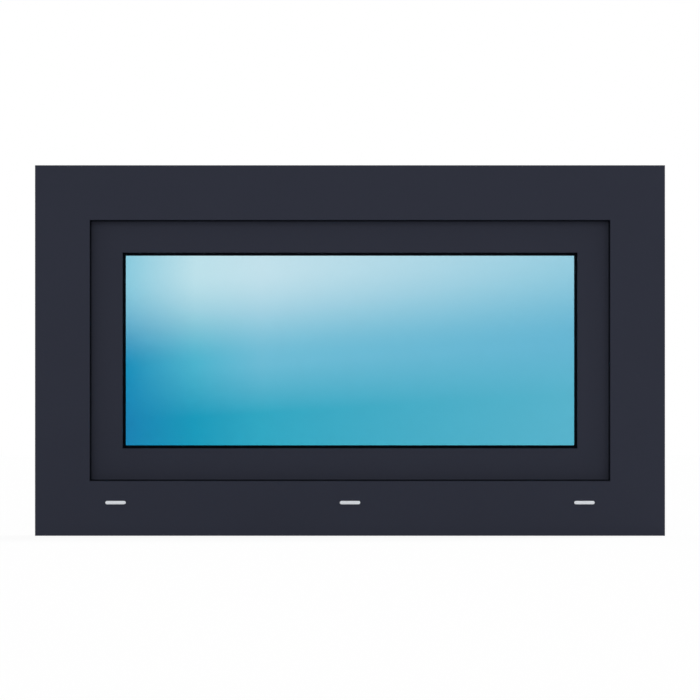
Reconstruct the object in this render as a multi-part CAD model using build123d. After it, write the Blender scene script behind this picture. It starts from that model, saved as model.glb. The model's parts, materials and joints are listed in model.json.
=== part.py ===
"""Bottom-hung tilt window: welded PVC profiles and a double-glazed sash that tilts inwards.

Millimetres. +Z is up, -Y is the weather side and +Y the room. The origin is on the underside of the
sill, at the middle of its length and of the frame's depth. A profile section is drawn in (y, n), where
n runs from the outer edge of the frame towards the middle of the window, and one section serves all
four sides.
"""

from build123d import *
import math
import os

# ---------------------------------------------------------------- driving dimensions
WIDTH = 850.0
HEIGHT = 500.0

# Frame profile
FRAME_DEPTH = 76.0
FRAME_FACE = 74.0  # height of the outer lip
REBATE_FLOOR = 50.0  # height of the frame body behind the lip
LIP_DEPTH = 20.0
WALL = 2.8  # visible walls
WEB = 1.8  # webs between chambers
EDGE_RADIUS = 1.0

# Sash profile and the standard 12/20-13 hardware rebate
AIR_GAP = 12.0  # frame rebate floor to sash edge
OVERLAP = 20.0  # sash flange beyond the sash edge
FITTING_AXIS = 13.0  # flange to centre of the hardware groove
SEAL_GAP = 3.0  # frame lip to sash
FLANGE_GAP = 3.0  # room face of the frame to the flange
FLANGE_DEPTH = 18.0
SASH_BODY = 38.0  # sash edge to glazing rebate
SASH_LIP_HEIGHT = 17.8
SASH_LIP_DEPTH = 18.0

# Glass unit
PANE = 4.0
GLASS_CAVITY = 16.0
GLAZING_SEAL = 4.0
EDGE_GAP = 5.0  # glazing rebate floor to the edge of the glass
SEALANT_DEPTH = 3.5
SPACER_HEIGHT = 7.0
SPACER_WALL = 0.6
BEAD_HEIGHT = 18.5
BLOCK_INSET = 55.0  # middle of a setting block from the corner of the glass

# Drain caps on the outside of the sill
CAP_LENGTH = 27.7
CAP_HEIGHT = 4.7
CAP_HOOD = 2.2
CAP_RISE = 44.8  # centre above the underside of the sill
CAP_INSET = 108.7  # middle of the outer caps from the ends of the sill
INNER_SLOT_OFFSET = 60.0  # from each cap to its slot in the rebate channel

# Wall fixings
ANCHOR_RADIUS = 4.0
ANCHOR_INSET = 150.0  # from the outer corners

# Reinforcement
STEEL = 1.5
STEEL_CLEARANCE = 0.4
STEEL_SHORT = 8.0  # bar ends short of the corner

# Screws
SCREW_RADIUS = 1.9
SCREW_HEAD_RADIUS = 3.7
SCREW_HEAD = 2.2
SCREW_LENGTH = 22.0
SHORT_SCREW_LENGTH = 12.0
HOLE_CLEARANCE = 0.08
FRAME_STEEL_SCREW_INSET = 195.0  # from the outer corners
SASH_STEEL_SCREW_INSET = 215.0

# Tilt hinges
HINGE_INSET = 125.0  # middle of a hinge from the end of the sill
HINGE_DROP = 8.0  # axis below the flange
KNUCKLE_RADIUS = 6.0
KNUCKLE_GAP = 1.0
HINGE_PIN_RADIUS = 3.0
HINGE_LEAF = 3.0
SASH_KNUCKLE = 26.0
FRAME_LEAF_WIDTH = 60.0
SASH_LEAF_HEIGHT = 56.0  # above the axis
TILT = 15.0  # degrees

# Tilt stays
STAY_LENGTH = 110.0
STAY_PIVOT_OFFSET = 4.0  # pivot towards the weather side of the slot
STAY_PIVOT_Z = 210.0
STAY_WIDTH = 14.0
STAY_THICK = 3.0
STAY_PIN_RADIUS = 3.0
SLOT_PLAY = 0.2

# Gear: pinion, rack and rod
MODULE = 1.5
TEETH = 15
PRESSURE_ANGLE = 20.0
BACKLASH = 0.12  # taken off each flank
PINION_WIDTH = 9.2
PINION_HUB = 7.0
HANDLE_TURN = 90.0  # degrees
ROD_THICK = 3.4
ROD_WIDTH = 10.0
CAM_INSET = 225.0  # cams at rest from the outer corners
ROD_TAIL = 30.0  # rod beyond each cam
FACEPLATE_TAIL = 85.0  # faceplate beyond each cam
KEEP_BASE = 2.3
KEEP_TAIL = 10.0
CAM_STEM = 3.0
CAM_ROLLER = 5.0
CAM_HEAD = 6.0
SPINDLE = 7.0

# Handle
LEVER_LENGTH = 118.0
LEVER_HEIGHT = 18.0
LEVER_THICK = 10.0
NECK_RADIUS = 9.0
NECK_LENGTH = 34.0
ROSETTE_LENGTH = 68.0
ROSETTE_HEIGHT = 29.0
ROSETTE_DEPTH = 8.0
COVER_WALL = 1.4
HANDLE_SCREW_SPACING = 43.0
HANDLE_SCREW_RADIUS = 2.45

# ---------------------------------------------------------------- places that follow from them
OUT = -FRAME_DEPTH / 2  # weather face of the frame
IN = FRAME_DEPTH / 2  # room face of the frame
LIP_BACK = OUT + LIP_DEPTH
SASH_OUT = LIP_BACK + SEAL_GAP
FLANGE_BACK = IN + FLANGE_GAP
SASH_IN = FLANGE_BACK + FLANGE_DEPTH
SASH_EDGE = REBATE_FLOOR + AIR_GAP
FLANGE_EDGE = SASH_EDGE - OVERLAP
GLAZING_FLOOR = SASH_EDGE + SASH_BODY
SASH_LIP = GLAZING_FLOOR + SASH_LIP_HEIGHT
SASH_LIP_BACK = SASH_OUT + SASH_LIP_DEPTH
GROOVE_Y = FLANGE_BACK - FITTING_AXIS
GLASS_OUT = SASH_LIP_BACK + GLAZING_SEAL
GLASS_IN = GLASS_OUT + 2 * PANE + GLASS_CAVITY
GLASS_EDGE = GLAZING_FLOOR + EDGE_GAP
BEAD_OUT = GLASS_IN + GLAZING_SEAL
BEAD_TOP = GLAZING_FLOOR + BEAD_HEIGHT

PLATE_THICK = 2.5  # faceplate and stay tracks
PLATE_WIDTH = 15.6
GROOVE_MOUTH = 16.0
GROOVE_WIDTH = 12.0
LEDGE = SASH_EDGE + 2.8  # where a faceplate sits in the groove
GROOVE_FLOOR = SASH_EDGE + 10.0
PLATE_TOP = LEDGE - 0.1 - PLATE_THICK
ROD_TOP = LEDGE + 0.1
ROD_BACK = ROD_TOP + ROD_THICK
PITCH_LINE = ROD_BACK + 1.25 * MODULE
PITCH_RADIUS = MODULE * TEETH / 2
PINION_N = PITCH_LINE + PITCH_RADIUS
ROD_TRAVEL = PITCH_RADIUS * math.radians(HANDLE_TURN)
HANDLE_Z = HEIGHT - PINION_N
CAM_X = WIDTH / 2 - CAM_INSET
HINGE_X = WIDTH / 2 - HINGE_INSET
CAP_X = WIDTH / 2 - CAP_INSET
HINGE_Y = SASH_IN + KNUCKLE_RADIUS + KNUCKLE_GAP
HINGE_Z = FLANGE_EDGE - HINGE_DROP
STAY_PIVOT_Y = GROOVE_Y - STAY_PIVOT_OFFSET

SIDES = {
    "sill": Pos(0, 0, 0),
    "head": Pos(0, 0, HEIGHT) * Rot(0, 180, 0),
    "left": Pos(-WIDTH / 2, 0, HEIGHT / 2) * Rot(0, 90, 0),
    "right": Pos(WIDTH / 2, 0, HEIGHT / 2) * Rot(0, -90, 0),
}
LENGTHS = {"sill": WIDTH, "head": WIDTH, "left": HEIGHT, "right": HEIGHT}


# ---------------------------------------------------------------- helpers
def along(side, value):
    """The place along a side's own axis of a point at an x on sill and head, or at a z on the jambs."""
    return {
        "sill": value,
        "head": -value,
        "left": HEIGHT / 2 - value,
        "right": value - HEIGHT / 2,
    }[side]


def rect(y0, y1, n0, n1):
    """A rectangle of a section, between two depths y and two heights n."""
    return Pos((y0 + y1) / 2, (n0 + n1) / 2) * Rectangle(y1 - y0, n1 - n0)


def polygon(*points):
    return make_face(Polyline(*points, close=True))


def block(x0, x1, y0, y1, z0, z1):
    return Pos((x0 + x1) / 2, (y0 + y1) / 2, (z0 + z1) / 2) * Box(x1 - x0, y1 - y0, z1 - z0)


def round_corners(face, radius, *points):
    """Rounds the section's corners that lie at these points."""
    chosen = [v for v in face.vertices() if any(math.dist((v.X, v.Y), p) < 0.01 for p in points)]
    return fillet(chosen, radius)


def rail(section, side, height):
    """One side of the window: a bar of the section, mitred at both ends, in its place."""
    half = LENGTHS[side] / 2
    bar = extrude(Plane.YZ * section, amount=half, both=True)
    mitre = Polyline((-half, 0), (half, 0), (half - height, height), (height - half, height), close=True)
    wedge = extrude(Plane.XZ * make_face(mitre), amount=4 * FRAME_DEPTH, both=True)
    return SIDES[side] * (bar & wedge)


def ring(section, height):
    """A closed ring of the section round all four sides, in one piece."""
    bars = [rail(section, side, height) for side in SIDES]
    return bars[0] + bars[1:]


def across(side, s, y, n0, n1, radius):
    """A cylinder that stands on a side, from height n0 to n1."""
    return SIDES[side] * Pos(s, y, (n0 + n1) / 2) * Cylinder(radius, abs(n1 - n0))


def slot_bar(length, width, depth):
    """A bar with round ends, its length along X and its depth along Z from 0."""
    return extrude(SlotOverall(length, width), amount=depth)


def screw(place, length=SCREW_LENGTH):
    """A countersunk screw that points down local -Z, its cross-recessed head flush with local zero."""
    head = Pos(0, 0, -SCREW_HEAD / 2) * Cone(SCREW_RADIUS, SCREW_HEAD_RADIUS, SCREW_HEAD)
    shank = Pos(0, 0, -(SCREW_HEAD + length) / 2) * Cylinder(SCREW_RADIUS, length - SCREW_HEAD)
    recess = Pos(0, 0, -0.5) * (Box(3.6, 0.7, 1.2) + Box(0.7, 3.6, 1.2))
    return place * (head + shank - recess)


def screw_hole(place, length=SCREW_LENGTH):
    """What a screw's head and shank need cut away."""
    gap = HOLE_CLEARANCE
    head = Pos(0, 0, -SCREW_HEAD / 2) * Cone(SCREW_RADIUS + gap, SCREW_HEAD_RADIUS + gap, SCREW_HEAD)
    shank = Pos(0, 0, -length / 2) * Cylinder(SCREW_RADIUS + gap, length + 2 * gap)
    return place * (head + shank)


def pan_screw(place, length=SHORT_SCREW_LENGTH):
    """A pan-head screw whose head stands on local zero and whose shank points down local -Z."""
    head = Pos(0, 0, 1.0) * Cylinder(SCREW_HEAD_RADIUS - 0.5, 2.0)
    shank = Pos(0, 0, -length / 2) * Cylinder(SCREW_RADIUS, length)
    recess = Pos(0, 0, 1.6) * (Box(3.4, 0.7, 1.2) + Box(0.7, 3.4, 1.2))
    return place * (head + shank - recess)


def inward(side, s, y, n):
    """A place on a side whose local -Z points to the outer edge of the frame."""
    return SIDES[side] * Pos(s, y, n)


def outward(side, s, y, n):
    """A place on a side whose local -Z points to the middle of the window."""
    return SIDES[side] * Pos(s, y, n) * Rot(180, 0, 0)


def from_room(x, y, z):
    """A place whose local -Z points from the room to the weather side."""
    return Pos(x, y, z) * Rot(-90, 0, 0)


def group(solids):
    return Compound(children=[s for part in solids for s in part.solids()])


PARTS = {}


def keep(name, shape):
    PARTS[name] = shape


# ---------------------------------------------------------------- profile sections
GROOVE_BACK = 3.0  # depth of the grooves in the outer edge
CHANNEL_WIDTH = 7.0
CHANNEL_FLOOR = REBATE_FLOOR - 6.0
STEEL_Y0, STEEL_Y1 = LIP_BACK + CHANNEL_WIDTH + WALL, IN - 14.0  # the frame's steel chamber
SASH_STEEL_Y0, SASH_STEEL_Y1 = SASH_OUT + 13.8, GROOVE_Y - 12.0
ANCHOR_Y = (STEEL_Y0 + STEEL_Y1) / 2
FIXING_Y = STEEL_Y1 - 4.0  # screws here pass the steel's web and miss its leg
SASH_SLOPE_TOP = SASH_EDGE + 6.0  # the sash edge falls back towards the weather side
SEAL_SLOT = 3.0  # width of the slots that hold the seals
FRAME_SEAL_N = FRAME_FACE - 6.0
SASH_SEAL_N = FLANGE_EDGE + 3.0
GLAZING_SEAL_N = GLAZING_FLOOR + 9.0
BEAD_GROOVE_Y = SASH_IN - 13.0


def dovetail(y):
    """The groove in the outer edge that takes a clip or a neighbouring profile."""
    return polygon((y - 4, 0), (y + 4, 0), (y + 5.5, GROOVE_BACK), (y - 5.5, GROOVE_BACK))


def frame_section():
    body = rect(OUT, IN, 0, REBATE_FLOOR) + rect(OUT, LIP_BACK, REBATE_FLOOR, FRAME_FACE)
    corners = [(OUT, 0), (IN, 0), (OUT, FRAME_FACE), (LIP_BACK, FRAME_FACE), (IN, REBATE_FLOOR)]
    body = round_corners(body, EDGE_RADIUS, *corners)
    body -= dovetail(STEEL_Y0 - 7.8) + dovetail(STEEL_Y1 + 6.5)
    body -= rect(LIP_BACK, LIP_BACK + CHANNEL_WIDTH, CHANNEL_FLOOR, REBATE_FLOOR)
    body -= rect(LIP_BACK - 3.5, LIP_BACK, FRAME_SEAL_N, FRAME_SEAL_N + SEAL_SLOT)
    first = OUT + WALL
    second = STEEL_Y0 - WEB - 10.6
    deep = GROOVE_BACK + WALL + 0.6
    body -= rect(first, second - WEB, WALL, CHANNEL_FLOOR - WALL - 2.7)
    body -= rect(first, second - WEB, CHANNEL_FLOOR - WALL - 0.9, REBATE_FLOOR - WALL)
    body -= rect(first, LIP_BACK - WALL, REBATE_FLOOR, FRAME_SEAL_N - WALL - 0.7)
    body -= rect(second, STEEL_Y0 - WEB, deep, CHANNEL_FLOOR - 2.4)
    body -= rect(STEEL_Y0, STEEL_Y1, WALL, REBATE_FLOOR - WALL - 0.4)
    body -= rect(STEEL_Y1 + WEB, IN - WALL, deep, REBATE_FLOOR - WALL - 0.4)
    return body


def sash_section():
    body = polygon(
        (SASH_OUT, SASH_SLOPE_TOP),
        (SASH_STEEL_Y1, SASH_EDGE),
        (FLANGE_BACK, SASH_EDGE),
        (FLANGE_BACK, FLANGE_EDGE),
        (SASH_IN, FLANGE_EDGE),
        (SASH_IN, GLAZING_FLOOR),
        (SASH_LIP_BACK, GLAZING_FLOOR),
        (SASH_LIP_BACK, SASH_LIP),
        (SASH_OUT, SASH_LIP),
    )
    weather_corners = [(SASH_OUT, SASH_LIP), (SASH_LIP_BACK, SASH_LIP), (SASH_OUT, SASH_SLOPE_TOP)]
    body = round_corners(body, EDGE_RADIUS, *weather_corners)
    body = round_corners(body, 3 * EDGE_RADIUS, (SASH_IN, FLANGE_EDGE))
    half_mouth, half_groove = GROOVE_MOUTH / 2, GROOVE_WIDTH / 2
    body -= rect(GROOVE_Y - half_mouth, GROOVE_Y + half_mouth, SASH_EDGE, LEDGE)
    body -= rect(GROOVE_Y - half_groove, GROOVE_Y + half_groove, LEDGE, GROOVE_FLOOR)
    body -= rect(FLANGE_BACK, FLANGE_BACK + 3.3, SASH_SEAL_N, SASH_SEAL_N + SEAL_SLOT)
    body -= rect(SASH_LIP_BACK - 3.0, SASH_LIP_BACK, GLAZING_SEAL_N, GLAZING_SEAL_N + SEAL_SLOT)
    body -= rect(BEAD_GROOVE_Y - 2, BEAD_GROOVE_Y + 2, GLAZING_FLOOR - 4, GLAZING_FLOOR)
    floor = GLAZING_FLOOR - WALL
    body -= rect(SASH_OUT + WALL, SASH_STEEL_Y0 - WEB, SASH_SLOPE_TOP + WALL, floor)
    body -= rect(SASH_STEEL_Y0, SASH_STEEL_Y1, SASH_SLOPE_TOP + 0.2, floor)
    body -= rect(SASH_STEEL_Y1 + WEB, FLANGE_BACK - 1.0, GROOVE_FLOOR + 3.0, floor)
    body -= rect(FLANGE_BACK + 0.8, SASH_IN - WALL, SASH_EDGE + WEB, floor - 4.0)
    body -= rect(FLANGE_BACK + 5.5, SASH_IN - WALL, FLANGE_EDGE + WALL, SASH_EDGE)
    body -= rect(SASH_OUT + WALL, SASH_LIP_BACK - 5.0, GLAZING_FLOOR - 1.0, SASH_LIP - 3.0)
    return body


def steel_section(y0, y1, n0, n1):
    """A U of sheet steel in a chamber, open towards the outer edge."""
    gap = STEEL_CLEARANCE
    outer = rect(y0 + gap, y1 - gap, n0 + gap, n1 - gap)
    return outer - rect(y0 + gap + STEEL, y1 - gap - STEEL, n0 + gap, n1 - gap - STEEL)


def cut_steel(section, side, corner, holes):
    """A reinforcement bar, cut square short of the corner at that height."""
    half = LENGTHS[side] / 2 - corner - STEEL_SHORT
    bar = SIDES[side] * extrude(Plane.YZ * section, amount=half, both=True)
    return bar - holes


# ---------------------------------------------------------------- tilt stays
def stay_pin_place(tilt):
    """Height of the stay's pin in the slot, measured in the closed sash, at a tilt in degrees."""
    turn = math.radians(tilt)
    back, sine, cosine = GROOVE_Y - HINGE_Y, math.sin(turn), math.cos(turn)
    base_y = HINGE_Y + back * cosine - STAY_PIVOT_Y
    base_z = HINGE_Z - back * sine - STAY_PIVOT_Z
    middle = base_y * sine + base_z * cosine
    rise = -middle + math.sqrt(middle**2 - base_y**2 - base_z**2 + STAY_LENGTH**2)
    return HINGE_Z + rise


PIN_HIGH, PIN_LOW = stay_pin_place(0), stay_pin_place(TILT)
TRACK_Z0, TRACK_Z1 = PIN_LOW - 30.0, PIN_HIGH + 30.0
BRACKET_HALF = 24.0


# ---------------------------------------------------------------- where holes and screws go
def spread(side, inset, middle_too=False):
    """Places along a side at an inset from each corner, and in the middle of a long side on request."""
    reach = LENGTHS[side] / 2 - inset
    return [-reach, 0, reach] if middle_too and side in ("sill", "head") else [-reach, reach]


keep_start, keep_end = -10.0, ROD_TRAVEL + CAM_HEAD + KEEP_TAIL  # the keep's base, measured from its cam
hinge_places = (-HINGE_X, HINGE_X)
faceplate_screw_xs = (-CAM_X - 60, -CAM_X / 2, CAM_X / 2, CAM_X + 60)

frame_screws = {side: [] for side in SIDES}
sash_screws = {side: [] for side in SIDES}
for cam_x in (-CAM_X, CAM_X):
    for x in (cam_x + keep_start + 5, cam_x + keep_end - 5):
        frame_screws["head"].append(inward("head", along("head", x), FIXING_Y, REBATE_FLOOR + KEEP_BASE))
for x in faceplate_screw_xs:
    sash_screws["head"].append(outward("head", along("head", x), GROOVE_Y, PLATE_TOP))
for side in ("left", "right"):
    for z in (STAY_PIVOT_Z - BRACKET_HALF + 6, STAY_PIVOT_Z + BRACKET_HALF - 6):
        frame_screws[side].append(inward(side, along(side, z), FIXING_Y, REBATE_FLOOR + 2))
    for z in (TRACK_Z0 + 8, TRACK_Z1 - 8):
        sash_screws[side].append(outward(side, along(side, z), GROOVE_Y, PLATE_TOP))
for x in hinge_places:
    for dx, z in ((-22, HINGE_Z - 14), (0, HINGE_Z - 21), (22, HINGE_Z - 14)):
        frame_screws["sill"].append(from_room(x + dx, IN + HINGE_LEAF, z))
    for dx in (-7, 7):
        for z in (HINGE_Z + 24, HINGE_Z + SASH_LEAF_HEIGHT - 10):
            sash_screws["sill"].append(from_room(x + dx, SASH_IN + HINGE_LEAF, z))

frame_holes = {side: [screw_hole(place) for place in frame_screws[side]] for side in SIDES}
sash_holes = {side: [screw_hole(place) for place in sash_screws[side]] for side in SIDES}

pilot = SCREW_RADIUS + HOLE_CLEARANCE
SASH_STEEL_SCREW_Y = (SASH_STEEL_Y0 + SASH_STEEL_Y1) / 2 + 1
anchor_holes = {"sill": []}
for side in ("head", "left", "right"):
    places = spread(side, ANCHOR_INSET)
    anchor_holes[side] = [across(side, s, ANCHOR_Y, -1, REBATE_FLOOR + 1, ANCHOR_RADIUS) for s in places]
frame_steel_spots = [(side, s) for side in SIDES for s in spread(side, FRAME_STEEL_SCREW_INSET, True)]
sash_steel_spots = [(side, s) for side in SIDES for s in spread(side, SASH_STEEL_SCREW_INSET)]
for side, s in frame_steel_spots:
    low, high = REBATE_FLOOR - 20, REBATE_FLOOR + 1
    frame_holes[side].append(across(side, s, ANCHOR_Y, low, high, pilot))
for side, s in sash_steel_spots:
    low, high = GLAZING_FLOOR - 20, GLAZING_FLOOR + 1
    sash_holes[side].append(across(side, s, SASH_STEEL_SCREW_Y, low, high, pilot))


# ---------------------------------------------------------------- frame
def drain_slot(x):
    """The slot behind a drain cap, through the outer wall, and its partner from the rebate channel."""
    slot = slot_bar(CAP_LENGTH - 3.2, CAP_HEIGHT - 1.7, WALL + 2)
    outer = Pos(x, OUT - 1, CAP_RISE) * Rot(-90, 0, 0) * slot
    middle = x - math.copysign(INNER_SLOT_OFFSET, x)
    z0, z1 = CHANNEL_FLOOR + 0.2, CHANNEL_FLOOR + 2.8
    return outer + block(middle - 12, middle + 12, LIP_BACK - 5, LIP_BACK + 1, z0, z1)


def frame_parts():
    section = frame_section()
    names = {"head": "head", "sill": "sill", "left": "jamb_left", "right": "jamb_right"}
    cuts = {side: frame_holes[side] + anchor_holes[side] for side in SIDES}
    drains = [drain_slot(x) for x in (-CAP_X, 0, CAP_X)]
    for side, name in names.items():
        bar = rail(section, side, FRAME_FACE) - cuts[side]
        keep(f"frame_{name}", bar - drains if side == "sill" else bar)

    steel = steel_section(STEEL_Y0, STEEL_Y1, WALL, REBATE_FLOOR - WALL - 0.4)
    keep("frame_steel", group([cut_steel(steel, side, REBATE_FLOOR, cuts[side]) for side in SIDES]))
    keep("frame_steel_screws", group([
        pan_screw(inward(side, s, ANCHOR_Y, REBATE_FLOOR)) for side, s in frame_steel_spots
    ]))

    foot = rect(LIP_BACK - 3.3, LIP_BACK, FRAME_SEAL_N + 0.2, FRAME_SEAL_N + SEAL_SLOT - 0.2)
    tip = FRAME_FACE + 1.6
    lip = polygon(
        (LIP_BACK, FRAME_SEAL_N - 1.5),
        (LIP_BACK, tip),
        (LIP_BACK + SEAL_GAP - 0.3, tip),
        (LIP_BACK + SEAL_GAP - 0.3, tip - 3.5),
        (LIP_BACK + 1.2, FRAME_SEAL_N - 1.5),
    )
    keep("frame_seal", ring(foot + lip, tip))


def drain_cap(x):
    """A hooded cap: closed in front, open underneath, held by two barbed legs."""
    place = Pos(x, OUT, CAP_RISE) * Rot(90, 0, 0)
    hood = slot_bar(CAP_LENGTH, CAP_HEIGHT, CAP_HOOD)
    hood = fillet(hood.faces().sort_by(Axis.Z)[-1].edges(), 0.6)
    hollow = CAP_HOOD - 1.0
    hood -= slot_bar(CAP_LENGTH - 2.2, CAP_HEIGHT - 1.8, hollow)
    hood -= Pos(0, -CAP_HEIGHT / 2, hollow / 2) * Box(CAP_LENGTH - 8, CAP_HEIGHT - 1, hollow)
    leg = block(-2, 2, -1.2, 1.2, -5.0, CAP_HOOD - 0.9) + block(-2, 2, -1.2, 2.0, -5.0, -3.2)
    return place * (hood + Pos(-8, 0, 0) * leg + Pos(8, 0, 0) * leg)


KEEP_Y0, KEEP_Y1 = FIXING_Y - 5.0, IN - 0.5


def keep_plate(cam_x):
    """A keep on the head rebate: a base with a wall that the cam slides behind when it locks."""
    s0, s1 = sorted((along("head", cam_x + keep_start), along("head", cam_x + keep_end)))
    base = block(s0, s1, KEEP_Y0, KEEP_Y1, REBATE_FLOOR, REBATE_FLOOR + KEEP_BASE)
    base = fillet(base.edges().filter_by(Axis.Z), 3)
    wall_y = GROOVE_Y + CAM_HEAD + 0.6
    wall_x0, wall_x1 = cam_x + CAM_HEAD + 2, cam_x + ROD_TRAVEL + CAM_HEAD + 2
    t0, t1 = sorted((along("head", wall_x0), along("head", wall_x1)))
    wall = block(t0, t1, wall_y, KEEP_Y1, REBATE_FLOOR + KEEP_BASE, SASH_EDGE - 3.8)
    lead_in = wall.edges().filter_by(Axis.Z).sort_by(Axis.X)[-2:].sort_by(Axis.Y)[0]
    wall = chamfer(lead_in, 2.0)
    return SIDES["head"] * (base + wall) - frame_holes["head"]


# ---------------------------------------------------------------- tilt hinges
def hinge_frame_leaf(x):
    """Plate on the room face of the sill, with two arms that reach forward under the sash to the pin."""
    half = FRAME_LEAF_WIDTH / 2
    inner = SASH_KNUCKLE / 2 + 0.3
    leaf = block(-half, half, IN, IN + HINGE_LEAF, HINGE_Z - 28, HINGE_Z - 1)
    leaf = fillet(leaf.edges().filter_by(Axis.Y), 2.5)
    for x0, x1 in ((-half, -inner), (inner, half)):
        arm = block(x0, x1, IN, HINGE_Y, HINGE_Z - KNUCKLE_RADIUS, HINGE_Z - 1)
        knuckle = Pos((x0 + x1) / 2, HINGE_Y, HINGE_Z) * Rot(0, 90, 0) * Cylinder(KNUCKLE_RADIUS, x1 - x0)
        leaf += [arm, knuckle]
    bore = Pos(0, HINGE_Y, HINGE_Z) * Rot(0, 90, 0) * Cylinder(HINGE_PIN_RADIUS + 0.03, 2 * half)
    return Pos(x, 0, 0) * (leaf - bore) - frame_holes["sill"]


def hinge_pin(x):
    turn = Pos(x, HINGE_Y, HINGE_Z) * Rot(0, 90, 0)
    reach = FRAME_LEAF_WIDTH / 2
    heads = [Pos(0, 0, side * (reach + 0.8)) * Cylinder(KNUCKLE_RADIUS - 1, 1.6) for side in (-1, 1)]
    return turn * (Cylinder(HINGE_PIN_RADIUS, 2 * reach) + heads)


def hinge_sash_leaf(x):
    """Plate on the room face of the sash flange, curled at its foot into the middle knuckle."""
    half = SASH_KNUCKLE / 2
    leaf = block(-half, half, SASH_IN, SASH_IN + HINGE_LEAF, HINGE_Z + 2, HINGE_Z + SASH_LEAF_HEIGHT)
    leaf = fillet(leaf.edges().filter_by(Axis.Y).sort_by(Axis.Z)[-2:], 3)
    leaf += Pos(0, HINGE_Y, HINGE_Z) * Rot(0, 90, 0) * Cylinder(KNUCKLE_RADIUS, SASH_KNUCKLE)
    leaf -= Pos(0, HINGE_Y, HINGE_Z) * Rot(0, 90, 0) * Cylinder(HINGE_PIN_RADIUS + 0.06, SASH_KNUCKLE)
    return Pos(x, 0, 0) * leaf - sash_holes["sill"]


def hinge_cover(x):
    """Plastic cap that clips over the sash leaf and hides its screws."""
    half, depth = SASH_KNUCKLE / 2 + 1.6, HINGE_LEAF + 2.6
    z0, z1 = FLANGE_EDGE + 3.5, HINGE_Z + SASH_LEAF_HEIGHT + 3
    cover = block(-half, half, SASH_IN, SASH_IN + depth, z0, z1)
    cover = fillet(cover.edges().filter_by(Axis.Y), 4)
    cover = fillet(cover.faces().sort_by(Axis.Y)[-1].edges(), 1.6)
    gap = 1.3
    cover -= block(-half + gap, half - gap, SASH_IN, SASH_IN + depth - gap, z0 - 1, z1 - gap)
    return Pos(x, 0, 0) * cover


# ---------------------------------------------------------------- parts of the tilt stays
def stay_bracket(side):
    """Bracket on the jamb's rebate with the stub that the stay turns on."""
    s0, s1 = sorted((along(side, STAY_PIVOT_Z - BRACKET_HALF), along(side, STAY_PIVOT_Z + BRACKET_HALF)))
    plate = block(s0, s1, FIXING_Y - 6, STAY_PIVOT_Y + 8, REBATE_FLOOR, REBATE_FLOOR + 2)
    plate = fillet(plate.edges().filter_by(Axis.Z), 4)
    s = along(side, STAY_PIVOT_Z)
    top = REBATE_FLOOR + 2.2 + STAY_THICK + 0.2
    stub = Pos(s, STAY_PIVOT_Y, (REBATE_FLOOR + top) / 2) * Cylinder(STAY_PIN_RADIUS, top - REBATE_FLOOR)
    rivet = Pos(s, STAY_PIVOT_Y, top + 0.6) * Cylinder(STAY_PIN_RADIUS + 1.5, 1.2)
    return SIDES[side] * (plate + stub + rivet) - frame_holes[side]


def stay_arm(side):
    """The stay: a flat arm on the bracket's stub, with a headed pin that runs in the sash's track."""
    n0 = REBATE_FLOOR + 2.2
    foot = Vector(along(side, STAY_PIVOT_Z), STAY_PIVOT_Y)
    tip = Vector(along(side, PIN_HIGH), GROOVE_Y)
    middle, span = (foot + tip) / 2, (tip - foot).length
    angle = math.degrees(math.atan2(tip.Y - foot.Y, tip.X - foot.X))
    strip = slot_bar(span + STAY_WIDTH, STAY_WIDTH, STAY_THICK)
    arm = Pos(middle.X, middle.Y, n0) * Rot(0, 0, angle) * strip
    arm -= Pos(foot.X, foot.Y, n0 + STAY_THICK / 2) * Cylinder(STAY_PIN_RADIUS + 0.06, STAY_THICK)
    arm += Pos(tip.X, tip.Y, (n0 + LEDGE + 2.4) / 2) * Cylinder(STAY_PIN_RADIUS, LEDGE + 2.4 - n0)
    arm += Pos(tip.X, tip.Y, LEDGE + 1.4) * Cylinder(STAY_PIN_RADIUS + 1.6, 2.0)
    return SIDES[side] * arm


def stay_track(side):
    """Slotted plate in the stile's groove. The slot's lower end stops the stay, and so the tilt."""
    s0, s1 = sorted((along(side, TRACK_Z0), along(side, TRACK_Z1)))
    y0, y1 = GROOVE_Y - PLATE_WIDTH / 2, GROOVE_Y + PLATE_WIDTH / 2
    plate = block(s0, s1, y0, y1, PLATE_TOP, PLATE_TOP + PLATE_THICK)
    plate = fillet(plate.edges().filter_by(Axis.Z), 5)
    width = 2 * (STAY_PIN_RADIUS + SLOT_PLAY)
    length = PIN_HIGH - PIN_LOW + width + 2 * SLOT_PLAY
    middle = along(side, (PIN_HIGH + PIN_LOW) / 2)
    slot = Pos(middle, GROOVE_Y, PLATE_TOP - 1) * slot_bar(length, width, PLATE_THICK + 2)
    return SIDES[side] * (plate - slot) - sash_holes[side]


# ---------------------------------------------------------------- gear, rod and locking cams
def involute_tooth_half_angle(radius):
    """Half the angle that a pinion tooth spans at a radius, thinned by the backlash."""
    base = PITCH_RADIUS * math.cos(math.radians(PRESSURE_ANGLE))

    def involute(r):
        angle = math.acos(min(1.0, base / r))
        return math.tan(angle) - angle

    half_at_pitch = math.pi / (2 * TEETH) - BACKLASH / PITCH_RADIUS
    return half_at_pitch + involute(PITCH_RADIUS) - involute(max(radius, base))


def pinion_face():
    """A toothed sector on a hub, centred on zero. A gap between teeth faces the rack at rest."""
    root, tip = PITCH_RADIUS - 1.25 * MODULE, PITCH_RADIUS + MODULE
    face = Sketch() + Circle(root)
    pitch_angle = 360 / TEETH
    for number in range(-1, math.ceil(HANDLE_TURN / pitch_angle) + 1):
        centre = math.radians(90 + (number + 0.5) * pitch_angle)
        flanks = {-1: [], 1: []}
        for step in range(6):
            radius = root - 0.4 + (tip - root + 0.4) * step / 5
            for hand, points in flanks.items():
                angle = centre + hand * involute_tooth_half_angle(radius)
                points.append((radius * math.cos(angle), radius * math.sin(angle)))
        face += polygon(*flanks[-1], *reversed(flanks[1]))
    return face


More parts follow.
